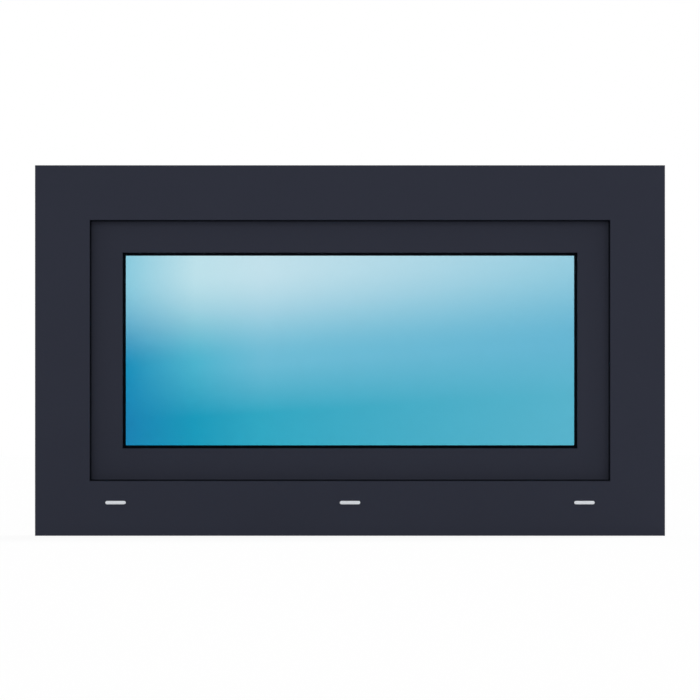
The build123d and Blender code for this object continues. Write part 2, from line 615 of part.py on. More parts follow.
def drive_pinion():
    """Pinion between the gearbox's side plates, on a hub with a square hole for the spindle."""
    gear = extrude(pinion_face(), amount=PINION_WIDTH / 2, both=True)
    gear += Cylinder(PINION_HUB, GEARBOX_DEPTH - 0.2)
    gear -= Box(SPINDLE + 0.2, SPINDLE + 0.2, 2 * PINION_WIDTH)
    return Pos(0, GROOVE_Y, HANDLE_Z) * Rot(90, 0, 0) * gear


GEARBOX_DEPTH = 12.4
GEARBOX_HALF = 32.0
GEARBOX_BOTTOM = PINION_N + PITCH_RADIUS - 1.25 * MODULE + 2.2


def gearbox_case():
    half, depth, top = GEARBOX_HALF, GEARBOX_DEPTH / 2, LEDGE - 0.1
    case = block(-half, half, -depth, depth, top, GEARBOX_BOTTOM)
    rod_room = ROD_WIDTH / 2 + 0.1
    case -= block(-half, half, -rod_room, rod_room, top, PITCH_LINE + MODULE + 0.7)
    reach, tooth_room = PITCH_RADIUS + MODULE + 1.5, PINION_WIDTH / 2 + 0.2
    case -= block(-reach, reach, -tooth_room, tooth_room, LEDGE, GEARBOX_BOTTOM - 1.5)
    bores = [(0, PINION_HUB), (-HANDLE_SCREW_SPACING / 2, HANDLE_SCREW_RADIUS)]
    bores.append((HANDLE_SCREW_SPACING / 2, HANDLE_SCREW_RADIUS))
    for x, radius in bores:
        case -= Pos(x, 0, PINION_N) * Rot(90, 0, 0) * Cylinder(radius + 0.05, 2 * GEARBOX_DEPTH)
    return SIDES["head"] * Pos(0, GROOVE_Y, 0) * case


def rack_face():
    """Rack teeth in (x, z) about the pinion's centre, with one tooth pointing down at x = 0."""
    pitch = math.pi * MODULE
    slope = math.tan(math.radians(PRESSURE_ANGLE))
    line = PITCH_RADIUS
    root, tip = line + 1.25 * MODULE, line - 0.92 * MODULE
    face = Sketch()
    for number in range(-math.ceil(ROD_TRAVEL / pitch) - 1, 2):
        x = number * pitch
        wide = pitch / 4 - BACKLASH + slope * (root - line)
        narrow = pitch / 4 - BACKLASH - slope * (line - tip)
        top = root + 0.3
        face += polygon((x - wide, top), (x + wide, top), (x + narrow, tip), (x - narrow, tip))
    return face


def drive_rod():
    """Flat rod under the faceplate: a rack in the middle, and slots where screws pass through it."""
    z1, z0 = HEIGHT - ROD_TOP, HEIGHT - ROD_BACK
    half = CAM_X + ROD_TAIL
    rod = block(-half, half, -ROD_WIDTH / 2, ROD_WIDTH / 2, z0, z1)
    rod += Pos(0, 0, HANDLE_Z) * extrude(Plane.XZ * rack_face(), amount=PINION_WIDTH / 2, both=True)
    radius = SCREW_HEAD_RADIUS + 0.4
    slot = slot_bar(ROD_TRAVEL + 2 * radius, 2 * radius, ROD_THICK + 2)
    for x in faceplate_screw_xs[1:3]:
        rod -= Pos(x - ROD_TRAVEL / 2, 0, z0 - 1) * slot
    for x in (-CAM_X, CAM_X):
        rod -= Pos(x, 0, (z0 + z1) / 2) * Cylinder(CAM_STEM, ROD_THICK)
    return Pos(0, GROOVE_Y, 0) * rod


def locking_cam(x):
    """Mushroom cam riveted into the rod: stem, roller and head."""
    head, neck = SASH_EDGE - 7.4, SASH_EDGE - 5.2
    s = along("head", x)
    stem = across("head", s, GROOVE_Y, head, ROD_BACK, CAM_STEM)
    roller = across("head", s, GROOVE_Y, neck, SASH_EDGE - 0.6, CAM_ROLLER)
    return stem + roller + across("head", s, GROOVE_Y, head, neck, CAM_HEAD)


def faceplate():
    n0 = PLATE_TOP
    half = CAM_X + FACEPLATE_TAIL
    plate = block(-half, half, -PLATE_WIDTH / 2, PLATE_WIDTH / 2, n0, n0 + PLATE_THICK)
    plate = fillet(plate.edges().filter_by(Axis.Z), 5)
    width = 2 * (CAM_STEM + 0.4)
    for x in (-CAM_X, CAM_X):
        s = along("head", x + ROD_TRAVEL / 2)
        plate -= Pos(s, 0, n0 - 1) * slot_bar(ROD_TRAVEL + width, width, PLATE_THICK + 2)
    return SIDES["head"] * Pos(0, GROOVE_Y, 0) * plate - sash_holes["head"]


# ---------------------------------------------------------------- handle
def rounded_plate(length, height, y0, y1, radius):
    """A plate that stands on the sash's room face about the handle's axis."""
    plate = block(-length / 2, length / 2, y0, y1, HANDLE_Z - height / 2, HANDLE_Z + height / 2)
    return fillet(plate.edges().filter_by(Axis.Y), radius)


def handle_axis(radius, y0, y1, x=0.0):
    return Pos(x, (y0 + y1) / 2, HANDLE_Z) * Rot(90, 0, 0) * Cylinder(radius, y1 - y0)


def handle_rosette():
    top = SASH_IN + ROSETTE_DEPTH
    base = rounded_plate(ROSETTE_LENGTH, ROSETTE_HEIGHT, SASH_IN, top, 6)
    base -= handle_axis(NECK_RADIUS + 0.06, SASH_IN + 3, top)
    base -= handle_axis(SPINDLE * 0.75, SASH_IN, top)
    for x in (-HANDLE_SCREW_SPACING / 2, HANDLE_SCREW_SPACING / 2):
        base -= handle_axis(HANDLE_SCREW_RADIUS + 0.1, SASH_IN, top, x)
        base -= handle_axis(4.6, top - 3, top, x)
    return base


def handle_cover():
    """Cap over the rosette that hides the screws."""
    top = SASH_IN + ROSETTE_DEPTH
    gap, grow = 0.2, 2 * (COVER_WALL + 0.2)
    crown = top + COVER_WALL + gap
    cover = rounded_plate(ROSETTE_LENGTH + grow, ROSETTE_HEIGHT + grow, SASH_IN, crown, 7.6)
    cover = fillet(cover.faces().sort_by(Axis.Y)[-1].edges(), 1.2)
    cover -= rounded_plate(ROSETTE_LENGTH + 2 * gap, ROSETTE_HEIGHT + 2 * gap, SASH_IN, top + gap, 6.2)
    return cover - handle_axis(NECK_RADIUS + 0.5, SASH_IN, top + 5)


def handle_screw(x):
    top = SASH_IN + ROSETTE_DEPTH - 0.4
    bolt = handle_axis(HANDLE_SCREW_RADIUS, GROOVE_Y - 4, top, x) + handle_axis(4.4, top - 2.4, top, x)
    recess = Pos(x, top - 0.5, HANDLE_Z) * (Box(4.4, 1.2, 0.9) + Box(0.9, 1.2, 4.4))
    return bolt - recess


def handle_spindle():
    y0, y1 = GROOVE_Y - 6, SASH_IN + NECK_LENGTH - 6
    return block(-SPINDLE / 2, SPINDLE / 2, y0, y1, HANDLE_Z - SPINDLE / 2, HANDLE_Z + SPINDLE / 2)


def handle_lever():
    """Neck in the rosette's bore and a lever that lies along the rail, with a soft square section."""
    y0, y1 = SASH_IN + 3.2, SASH_IN + NECK_LENGTH
    z0, z1 = HANDLE_Z - LEVER_HEIGHT / 2, HANDLE_Z + LEVER_HEIGHT / 2
    bar = block(-NECK_RADIUS, LEVER_LENGTH, y1 - 2, y1 - 2 + LEVER_THICK, z0, z1)
    bar = fillet(bar.edges().filter_by(Axis.Y), 8)
    bar = fillet(bar.edges().group_by(Axis.Y)[-1] + bar.edges().group_by(Axis.Y)[0], 2.5)
    lever = bar + handle_axis(NECK_RADIUS, y0, y1)
    hole = Pos(0, (y0 + y1) / 2 - 3, HANDLE_Z) * Box(SPINDLE + 0.1, y1 - y0 - 5.8, SPINDLE + 0.1)
    return lever - hole


# ---------------------------------------------------------------- sash and glass
def sash_parts():
    section = sash_section()
    names = {"head": "head", "sill": "sill", "left": "stile_left", "right": "stile_right"}
    half, depth = GEARBOX_HALF + 0.5, GEARBOX_DEPTH / 2 + 0.3
    pocket = Pos(0, GROOVE_Y, 0) * block(-half, half, -depth, depth, LEDGE, GEARBOX_BOTTOM + 0.5)
    gear_cuts = [SIDES["head"] * pocket, handle_axis(SPINDLE * 0.8, GROOVE_Y, SASH_IN + 1)]
    for x in (-HANDLE_SCREW_SPACING / 2, HANDLE_SCREW_SPACING / 2):
        gear_cuts.append(handle_axis(HANDLE_SCREW_RADIUS + 0.3, GROOVE_Y, SASH_IN + 1, x))
    near_corners = [hole for side in SIDES for hole in sash_holes[side]]
    for side, name in names.items():
        bar = rail(section, side, SASH_LIP) - near_corners
        keep(f"sash_{name}", bar - gear_cuts if side == "head" else bar)

    steel = steel_section(SASH_STEEL_Y0, SASH_STEEL_Y1, SASH_SLOPE_TOP + 0.2, GLAZING_FLOOR - WALL)
    keep("sash_steel", group([cut_steel(steel, side, GLAZING_FLOOR, sash_holes[side]) for side in SIDES]))
    keep("sash_steel_screws", group([
        pan_screw(inward(side, s, SASH_STEEL_SCREW_Y, GLAZING_FLOOR)) for side, s in sash_steel_spots
    ]))

    foot = rect(FLANGE_BACK, FLANGE_BACK + 3.1, SASH_SEAL_N + 0.2, SASH_SEAL_N + SEAL_SLOT - 0.2)
    top = SASH_SEAL_N + 4.5
    lip = polygon(
        (FLANGE_BACK, FLANGE_EDGE + 1.5),
        (FLANGE_BACK, top),
        (IN + 0.3, top - 1.5),
        (IN + 0.3, FLANGE_EDGE + 2.5),
    )
    keep("sash_seal", ring(foot + lip, top))


def glazing_parts():
    foot = rect(SASH_LIP_BACK - 2.8, SASH_LIP_BACK, GLAZING_SEAL_N + 0.2, GLAZING_SEAL_N + SEAL_SLOT - 0.2)
    top = SASH_LIP + 4.0
    lip = polygon(
        (SASH_LIP_BACK, GLAZING_SEAL_N - 1),
        (SASH_LIP_BACK, SASH_LIP),
        (SASH_LIP_BACK - 0.8, SASH_LIP + 0.6),
        (GLASS_OUT - 1.2, top),
        (GLASS_OUT, top),
        (GLASS_OUT, GLAZING_SEAL_N - 1),
    )
    keep("outer_glazing_seal", ring(foot + lip, top))

    inner_lip = polygon(
        (GLASS_IN, BEAD_TOP - 8),
        (BEAD_OUT, BEAD_TOP - 8),
        (BEAD_OUT, BEAD_TOP),
        (BEAD_OUT - 1, BEAD_TOP + 1.8),
        (GLASS_IN, BEAD_TOP + 2.4),
    )
    keep("inner_glazing_seal", ring(inner_lip, BEAD_TOP + 2.4))

    half_x, half_z = WIDTH / 2 - GLASS_EDGE, HEIGHT / 2 - GLASS_EDGE
    for name, y in (("outer_pane", GLASS_OUT), ("inner_pane", GLASS_IN - PANE)):
        keep(name, block(-half_x, half_x, y, y + PANE, HEIGHT / 2 - half_z, HEIGHT / 2 + half_z))
    cavity_out, cavity_in = GLASS_OUT + PANE, GLASS_IN - PANE
    spacer_n = GLASS_EDGE + SEALANT_DEPTH
    spacer_top = spacer_n + SPACER_HEIGHT
    keep("edge_sealant", ring(rect(cavity_out, cavity_in, GLASS_EDGE, spacer_n), spacer_n))
    tube = rect(cavity_out, cavity_in, spacer_n, spacer_top)
    wall = SPACER_WALL
    tube -= rect(cavity_out + wall, cavity_in - wall, spacer_n + wall, spacer_top - wall)
    keep("spacer_bar", ring(tube, spacer_top))
    fill = rect(cavity_out + 1, cavity_in - 1, spacer_n + 1, spacer_top - 1)
    keep("desiccant", ring(fill, spacer_top))

    bead = polygon(
        (BEAD_OUT, GLAZING_FLOOR),
        (SASH_IN, GLAZING_FLOOR),
        (SASH_IN, GLAZING_FLOOR + 8),
        (BEAD_OUT + 10, BEAD_TOP),
        (BEAD_OUT, BEAD_TOP),
    )
    bead = round_corners(bead, 1.0, (SASH_IN, GLAZING_FLOOR + 8), (BEAD_OUT + 10, BEAD_TOP))
    bead -= polygon(
        (BEAD_OUT + 2, GLAZING_FLOOR + 2),
        (SASH_IN - 2, GLAZING_FLOOR + 2),
        (SASH_IN - 2, GLAZING_FLOOR + 7),
        (BEAD_OUT + 9.4, BEAD_TOP - 2),
        (BEAD_OUT + 2, BEAD_TOP - 2),
    )
    bead += rect(BEAD_GROOVE_Y - 1.8, BEAD_GROOVE_Y + 1.8, GLAZING_FLOOR - 3.7, GLAZING_FLOOR + 0.5)
    names = {"head": "top", "sill": "bottom", "left": "left", "right": "right"}
    for side, name in names.items():
        keep(f"glazing_bead_{name}", rail(bead, side, BEAD_TOP))

    spots = [(side, s) for side in SIDES for s in spread(side, GLASS_EDGE + BLOCK_INSET)]
    bridge_top = GLAZING_FLOOR + 1.5
    bridges, blocks = [], []
    for side, s in spots:
        bridge = block(s - 34, s + 34, GLASS_OUT - 2, GLASS_IN + 3, GLAZING_FLOOR, bridge_top)
        bridges.append(SIDES[side] * bridge)
        blocks.append(SIDES[side] * block(s - 30, s + 30, GLASS_OUT, GLASS_IN, bridge_top, GLASS_EDGE))
    keep("glazing_bridges", group(bridges))
    keep("setting_blocks", group(blocks))


# ---------------------------------------------------------------- build and write
frame_parts()
sash_parts()
glazing_parts()

for place, x in (("left", -CAP_X), ("middle", 0), ("right", CAP_X)):
    keep(f"drain_cap_{place}", drain_cap(x))
for side, x in (("left", -HINGE_X), ("right", HINGE_X)):
    keep(f"hinge_frame_leaf_{side}", hinge_frame_leaf(x))
    keep(f"hinge_sash_leaf_{side}", hinge_sash_leaf(x))
    keep(f"keep_{side}", keep_plate(math.copysign(CAM_X, x)))
    keep(f"stay_bracket_{side}", stay_bracket(side))
    keep(f"stay_arm_{side}", stay_arm(side))
    keep(f"stay_track_{side}", stay_track(side))
keep("hinge_pins", group([hinge_pin(x) for x in hinge_places]))
keep("hinge_covers", group([hinge_cover(x) for x in hinge_places]))
keep("frame_hardware_screws", group([screw(place) for side in SIDES for place in frame_screws[side]]))
keep("sash_hardware_screws", group([screw(place) for side in SIDES for place in sash_screws[side]]))
keep("faceplate", faceplate())
keep("gearbox_case", gearbox_case())
keep("drive_pinion", drive_pinion())
keep("drive_rod", drive_rod())
keep("locking_cams", group([locking_cam(x) for x in (-CAM_X, CAM_X)]))
keep("handle_rosette", handle_rosette())
keep("handle_cover", handle_cover())
keep("handle_screws", group([handle_screw(side * HANDLE_SCREW_SPACING / 2) for side in (-1, 1)]))
keep("handle_spindle", handle_spindle())
keep("handle_lever", handle_lever())

os.makedirs("parts", exist_ok=True)
for name, shape in PARTS.items():
    export_step(shape, f"parts/{name}.step")
print(len(PARTS), "nodes")
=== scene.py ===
"""The looks of a bottom-hung tilt window, built round its packed construction model.

Metres. +X is to the right seen from the weather side, -Y is the weather side, +Y the room, +Z up. A height n
is measured from the outer edge of the frame towards the middle of the window.
"""

import json
import math
from contextlib import contextmanager

import bmesh
import bpy
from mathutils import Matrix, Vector

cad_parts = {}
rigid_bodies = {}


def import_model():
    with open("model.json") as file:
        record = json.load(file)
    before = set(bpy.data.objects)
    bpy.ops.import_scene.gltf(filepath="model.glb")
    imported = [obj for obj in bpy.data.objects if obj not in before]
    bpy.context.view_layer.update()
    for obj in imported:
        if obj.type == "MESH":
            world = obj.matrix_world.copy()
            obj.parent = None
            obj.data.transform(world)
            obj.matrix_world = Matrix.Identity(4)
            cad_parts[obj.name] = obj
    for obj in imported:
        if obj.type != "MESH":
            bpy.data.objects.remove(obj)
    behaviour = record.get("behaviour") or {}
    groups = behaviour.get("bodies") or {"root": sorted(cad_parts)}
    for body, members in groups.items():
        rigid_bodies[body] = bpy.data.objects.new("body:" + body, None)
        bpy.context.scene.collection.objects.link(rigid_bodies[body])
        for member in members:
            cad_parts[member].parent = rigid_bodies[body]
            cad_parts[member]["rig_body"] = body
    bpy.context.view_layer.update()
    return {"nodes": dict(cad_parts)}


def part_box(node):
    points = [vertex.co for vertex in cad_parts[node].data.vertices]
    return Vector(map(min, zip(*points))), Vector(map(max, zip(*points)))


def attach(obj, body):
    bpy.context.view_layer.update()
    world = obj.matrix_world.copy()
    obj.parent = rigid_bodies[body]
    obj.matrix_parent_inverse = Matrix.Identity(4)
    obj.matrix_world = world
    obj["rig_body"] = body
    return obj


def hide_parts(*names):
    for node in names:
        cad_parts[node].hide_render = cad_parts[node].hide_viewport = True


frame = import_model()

MM = 0.001
NODES = frame["nodes"]

# ---------------------------------------------------------------- places and sizes of the construction model
FRAME_LOW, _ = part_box("frame_sill")
_, FRAME_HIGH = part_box("frame_head")
HALF_WIDTH = FRAME_HIGH.x
HALF_HEIGHT = FRAME_HIGH.z / 2
SASH_LOW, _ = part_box("sash_sill")

LIP_DEPTH = 20 * MM  # the frame's lip, front to back
SASH_LIP_DEPTH = 18 * MM
REBATE_FLOOR_N = 50 * MM
GLAZING_FLOOR_N = 100 * MM
FOIL_WRAP = 2.5 * MM  # foil that turns round the outer edges
FOIL_EDGE = 0.1 * MM  # foil past the back of a lip, so that its edge is covered

# millimetres, as patterns are laid out in them
WELD_HALF = 0.9
BEAD_JOINT = 0.25
DIE_LINES = 0.9
PIN_HOLE_PITCH = 3.0
PIN_HOLE_RADIUS = 0.35
SPACER_MIDDLE = (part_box("spacer_bar")[0].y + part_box("spacer_bar")[1].y) / 2 / MM

# sockets of a Mix node
FACTOR, FIRST_NUMBER, SECOND_NUMBER, FIRST_COLOUR, SECOND_COLOUR = 0, 2, 3, 6, 7
MIXED_COLOUR = 2


# ---------------------------------------------------------------- colours, nodes and surfaces
def linear(hex_colour):
    """An sRGB hex colour as linear red, green, blue and alpha."""
    parts = [int(hex_colour[i:i + 2], 16) / 255 for i in (1, 3, 5)]
    return [c / 12.92 if c <= 0.04045 else ((c + 0.055) / 1.055) ** 2.4 for c in parts] + [1.0]


def node(tree, kind, sockets=(), **settings):
    """Adds a node with its settings.

    The sockets come in order, or by name or number. A node or an output is linked, a hex colour is turned to
    linear, and the rest is set as it is.
    """
    made = tree.nodes.new(f"ShaderNode{kind}")
    for name, value in settings.items():
        setattr(made, name, value)
    for name, value in sockets.items() if isinstance(sockets, dict) else enumerate(sockets):
        if isinstance(value, bpy.types.Node):
            value = value.outputs[0]
        if isinstance(value, bpy.types.NodeSocket):
            tree.links.new(value, made.inputs[name])
        else:
            made.inputs[name].default_value = linear(value) if isinstance(value, str) else value
    return made


def material(name, **shader):
    """A material with one shader. Returns it, its tree, the shader, and the place in millimetres."""
    made = bpy.data.materials.new(name)
    made.use_nodes = True
    tree = made.node_tree
    tree.nodes.clear()
    surface = node(tree, "BsdfPrincipled", {key.replace("_", " "): value for key, value in shader.items()})
    node(tree, "OutputMaterial", {"Surface": surface})
    here = node(tree, "TexCoord").outputs["Object"]
    place = node(tree, "VectorMath", [here, (1 / MM, 1 / MM, 1 / MM)], operation="MULTIPLY")
    return made, tree, surface, place


def colour_surface(tree, surface, colour, *layers):
    """Gives a surface a colour, and lays others over it, each where its own pattern goes from 0 to 1."""
    for pattern, covering in layers:
        sockets = {FACTOR: pattern, FIRST_COLOUR: colour, SECOND_COLOUR: covering}
        colour = node(tree, "Mix", sockets, data_type="RGBA").outputs[MIXED_COLOUR]
    tree.links.new(colour, surface.inputs["Base Color"])


def roughen_surface(tree, surface, pattern, smoothest, roughest, low=0.3, high=0.7):
    """Roughens a surface as a pattern goes from low to high. Noise mostly stays between 0.3 and 0.7."""
    gloss = node(tree, "MapRange", [pattern, low, high, smoothest, roughest])
    tree.links.new(gloss.outputs[0], surface.inputs["Roughness"])


def raise_surface(tree, surface, height, depth_mm):
    bump = node(tree, "Bump", {"Height": height, "Distance": depth_mm * MM, "Strength": 1.0})
    tree.links.new(bump.outputs[0], surface.inputs["Normal"])


def section_place(tree, place):
    """Depth y and height n of a point in the section of its side, and its distance from a mitre."""
    split = node(tree, "SeparateXYZ", [place]).outputs
    x = node(tree, "Math", [split[0]], operation="ABSOLUTE")
    above = node(tree, "Math", [split[2], HALF_HEIGHT / MM], operation="SUBTRACT")
    z = node(tree, "Math", [above], operation="ABSOLUTE")
    from_side = node(tree, "Math", [HALF_WIDTH / MM, x], operation="SUBTRACT")
    from_end = node(tree, "Math", [HALF_HEIGHT / MM, z], operation="SUBTRACT")
    n = node(tree, "Math", [from_side, from_end], operation="MINIMUM")
    apart = node(tree, "Math", [from_side, from_end], operation="SUBTRACT")
    return split[1], n, node(tree, "Math", [apart], operation="ABSOLUTE")


def die_lines(tree, y, n):
    """Fine lines along the bar, left by the extrusion die, drawn coarser than real ones so that they show."""
    across = node(tree, "CombineXYZ", [y, n])
    return node(tree, "TexNoise", {"Vector": across, "Scale": 1 / DIE_LINES, "Detail": 3.0})


# ---------------------------------------------------------------- materials
def foiled_profile(name, skin_y, lip_n, lip_back_y):
    """White extruded PVC-U with matt anthracite foil pressed on its weather side and round its lip.

    The foil is smooth and dull with a faint emboss. The bare plastic is satin, with die lines along the
    bar and a cleaned weld across each corner.
    """
    made, tree, surface, place = material(name, IOR=1.5, Specular_IOR_Level=0.1)
    y, n, mitre = section_place(tree, place)
    skin = node(tree, "Math", [y, skin_y / MM], operation="LESS_THAN")
    inward = node(tree, "Math", [n, lip_n / MM], operation="GREATER_THAN")
    forward = node(tree, "Math", [y, lip_back_y / MM], operation="LESS_THAN")
    lip = node(tree, "Math", [inward, forward], operation="MULTIPLY")
    foil = node(tree, "Math", [skin, lip], operation="MAXIMUM")
    weld = node(tree, "Math", [mitre, WELD_HALF], operation="LESS_THAN")
    lines = die_lines(tree, y, n)
    emboss = node(tree, "TexNoise", {"Vector": place, "Scale": 1 / 0.7, "Detail": 4.0})
    shade = node(tree, "TexNoise", {"Vector": place, "Scale": 1 / 90})
    shaded_foil = node(tree, "Math", [foil, shade], operation="MULTIPLY")
    layers = [(lines, "#f4f4f1"), (weld, "#dcdcd8"), (foil, "#292c39"), (shaded_foil, "#2b2e3b")]
    colour_surface(tree, surface, "#eeeeeb", *layers)

    white_gloss = node(tree, "MapRange", [lines, 0.3, 0.7, 0.28, 0.36])
    foil_gloss = node(tree, "MapRange", [emboss, 0.3, 0.7, 0.52, 0.64])
    gloss = node(tree, "Mix", {FACTOR: foil, FIRST_NUMBER: white_gloss, SECOND_NUMBER: foil_gloss})
    tree.links.new(gloss.outputs[0], surface.inputs["Roughness"])
    groove = node(tree, "Math", [weld, -12.0], operation="MULTIPLY")  # in die lines' own depth
    bare = node(tree, "Math", [lines, groove], operation="ADD")
    relief = node(tree, "Mix", {FACTOR: foil, FIRST_NUMBER: bare, SECOND_NUMBER: emboss})
    raise_surface(tree, surface, relief, 0.012)
    return made


def white_pvcu():
    """Bare extruded PVC-U: satin white with faint lines along the bar and a hairline where two beads meet."""
    made, tree, surface, place = material("white_pvcu_bead", IOR=1.5)
    y, n, mitre = section_place(tree, place)
    lines = die_lines(tree, y, n)
    joint = node(tree, "Math", [mitre, BEAD_JOINT], operation="LESS_THAN")
    colour_surface(tree, surface, "#eeeeeb", (lines, "#f4f4f1"), (joint, "#8f8f8b"))
    roughen_surface(tree, surface, lines, 0.26, 0.34)
    raise_surface(tree, surface, lines, 0.012)
    return made


def black_epdm():
    """Extruded EPDM rubber: nearly black, dull, with a dusting of fine pores."""
    made, tree, surface, place = material("black_epdm_seal", IOR=1.5, Specular_IOR_Level=0.06)
    pores = node(tree, "TexNoise", {"Vector": place, "Scale": 1 / 0.35, "Detail": 3.0})
    colour_surface(tree, surface, "#02060d", (pores, "#040912"))
    roughen_surface(tree, surface, pores, 0.62, 0.8)
    raise_surface(tree, surface, pores, 0.02)
    return made


def cap_plastic():
    """Moulded ASA: pale grey, even, slightly satin."""
    made, tree, surface, place = material("moulded_asa_cap", IOR=1.5, Specular_IOR_Level=0.3)
    cloud = node(tree, "TexNoise", {"Vector": place, "Scale": 1 / 6})
    texture = node(tree, "TexNoise", {"Vector": place, "Scale": 1 / 0.25, "Detail": 3.0})
    colour_surface(tree, surface, "#e4e8ed", (cloud, "#e9edf2"))
    roughen_surface(tree, surface, cloud, 0.42, 0.5)
    raise_surface(tree, surface, texture, 0.01)
    return made


# the outer pane's colour is a painted sky reflection, laid out by place on the pane
PAINTED_SKY_HALF_WIDTH = 300.0  # millimetres, as are the next three, which are above the sill's foot
PAINTED_SKY_LOW, PAINTED_SKY_MIDDLE, PAINTED_SKY_HIGH = 172.0, 240.0, 372.0
PAINTED_SKY_LEAN = 0.06  # how far the bands of the painted sky reflection sink for each millimetre towards +X
PAINTED_SKY_STOPS = (0.15, 0.3)  # colour stops between the two edges, as shares of the width from -X
PAINTED_SKY_TOP = ("#94d2e6", "#c7e8f2", "#cce8f3", "#a1d5e8")
PAINTED_SKY_CENTRE = ("#0095c2", "#4cb9d5", "#72c2dd", "#6abcda")
PAINTED_SKY_FOOT = ("#0088ba", "#009fc2", "#2badca", "#5ab9d3")


def glass_with_painted_sky():
    """Float glass with a painted sky reflection as its colour: pale at the top, deep blue low on the left,
    teal along the bottom.
    """
    made, tree, surface, place = material(
        "float_glass_with_painted_sky_reflection", IOR=1.5, Roughness=0.0, Transmission_Weight=1.0, Specular_IOR_Level=0.2
    )
    split = node(tree, "SeparateXYZ", [place]).outputs
    across = node(tree, "MapRange", [split[0], -PAINTED_SKY_HALF_WIDTH, PAINTED_SKY_HALF_WIDTH, 0.0, 1.0])
    bands = []
    for colours in (PAINTED_SKY_FOOT, PAINTED_SKY_CENTRE, PAINTED_SKY_TOP):
        band = node(tree, "ValToRGB", [across])
        stops = band.color_ramp.elements
        for share in PAINTED_SKY_STOPS:
            stops.new(share)
        for stop, colour in zip(stops, colours):
            stop.color = linear(colour)
        bands.append(band)
    sunk = node(tree, "Math", [split[0], PAINTED_SKY_LEAN], operation="MULTIPLY")
    rise = node(tree, "Math", [split[2], sunk], operation="SUBTRACT")
    lower = node(tree, "MapRange", [rise, PAINTED_SKY_LOW, PAINTED_SKY_MIDDLE, 0.0, 1.0])
    upper = node(tree, "MapRange", [rise, PAINTED_SKY_MIDDLE, PAINTED_SKY_HIGH, 0.0, 1.0], interpolation_type="SMOOTHSTEP")
    foot, centre, top = bands
    # painted sky reflection: the foot's colours, then the middle's, then the top's, from the sill up
    colour_surface(tree, surface, foot, (lower, centre), (upper, top))
    return made


def clear_glass():
    """Plain float glass."""
    made, *_ = material(
        "clear_float_glass", Base_Color="#f7fbfa", IOR=1.5, Roughness=0.0, Transmission_Weight=1.0,
        Specular_IOR_Level=0.3,
    )
    return made


def galvanised_steel():
    """Hot-dip galvanised sheet: dull grey with a crystalline spangle a few millimetres across."""
    made, tree, surface, place = material("galvanised_sheet_steel", Metallic=1.0)
    spangle = node(tree, "TexVoronoi", {"Vector": place, "Scale": 1 / 7}).outputs["Color"]
    tone = node(tree, "SeparateXYZ", [spangle])
    colour_surface(tree, surface, "#9aa0a4", (tone, "#c3c8cb"))
    roughen_surface(tree, surface, tone, 0.38, 0.55, low=0.0, high=1.0)
    return made


def zinc_plated_steel(name, rolled_along=None):
    """Pressed steel with a silvery zinc coat: satin, with fine rolling marks along an axis of the strip."""
    made, tree, surface, place = material(name, Metallic=1.0)
    stretch = [1.0, 1.0, 1.0]
    if rolled_along is not None:
        stretch[rolled_along] = 0.03
    along = node(tree, "VectorMath", [place, stretch], operation="MULTIPLY")
    marks = node(tree, "TexNoise", {"Vector": along, "Scale": 1 / 0.4, "Detail": 4.0})
    haze = node(tree, "TexNoise", {"Vector": place, "Scale": 1 / 14})
    both = node(tree, "Math", [marks, haze], operation="ADD")
    tone = node(tree, "Math", [both, 0.5], operation="MULTIPLY")
    colour_surface(tree, surface, "#b4b7ba", (tone, "#d3d6d8"))
    roughen_surface(tree, surface, tone, 0.24, 0.4)
    raise_surface(tree, surface, marks, 0.006)
    return made


def die_cast_zinc():
    """Zinc die casting: plain mid grey with a fine sandy skin."""
    made, tree, surface, place = material("die_cast_zinc", Metallic=1.0)
    sand = node(tree, "TexNoise", {"Vector": place, "Scale": 1 / 0.5, "Detail": 4.0})
    colour_surface(tree, surface, "#8f9296", (sand, "#a9acb0"))
    roughen_surface(tree, surface, sand, 0.42, 0.56)
    raise_surface(tree, surface, sand, 0.03)
    return made


def powder_coat(name, base, bright, gloss):
    """White polyester powder on metal: satin, with the slight orange peel of baked powder."""
    made, tree, surface, place = material(name, IOR=1.5)
    peel = node(tree, "TexNoise", {"Vector": place, "Scale": 1 / 2.4, "Detail": 0.0})
    cloud = node(tree, "TexNoise", {"Vector": place, "Scale": 1 / 25})
    colour_surface(tree, surface, base, (cloud, bright))
    roughen_surface(tree, surface, peel, gloss - 0.02, gloss + 0.02)
    raise_surface(tree, surface, peel, 0.004)
    return made


def moulded_white():
    """Injection-moulded ABS: white with an even, fine spark-eroded texture."""
    made, tree, surface, place = material("moulded_white_abs", IOR=1.5)
    texture = node(tree, "TexNoise", {"Vector": place, "Scale": 1 / 0.3})
    colour_surface(tree, surface, "#efefec", (texture, "#f5f5f3"))
    roughen_surface(tree, surface, texture, 0.34, 0.42)
    raise_surface(tree, surface, texture, 0.01)
    return made


def mill_aluminium():
    """Roll-formed aluminium spacer: bright, with a row of pin holes that let the drying beads breathe, each a
    shallow dent with painted shade inside.
    """
    made, tree, surface, place = material("mill_finish_aluminium", Metallic=1.0)
    haze = node(tree, "TexNoise", {"Vector": place, "Scale": 1 / 5})
    split = node(tree, "SeparateXYZ", [place]).outputs
    along = node(tree, "Math", [split[0], split[2]], operation="ADD")
    step = node(tree, "Math", [along, PIN_HOLE_PITCH / 2], operation="PINGPONG")
    aside = node(tree, "Math", [split[1], SPACER_MIDDLE], operation="SUBTRACT")
    squares = [node(tree, "Math", [part, 2.0], operation="POWER") for part in (step, aside)]
    away = node(tree, "Math", [node(tree, "Math", squares, operation="ADD")], operation="SQRT")
    hole = node(tree, "Math", [away, PIN_HOLE_RADIUS], operation="LESS_THAN")
    # the pin holes are darkened with painted shade, as if deep
    colour_surface(tree, surface, "#dcdee0", (haze, "#ecedee"), (hole, "#3a3b3d"))
    roughen_surface(tree, surface, haze, 0.4, 0.5)
    raise_surface(tree, surface, node(tree, "Math", [hole, -1.0], operation="MULTIPLY"), 0.2)
    return made


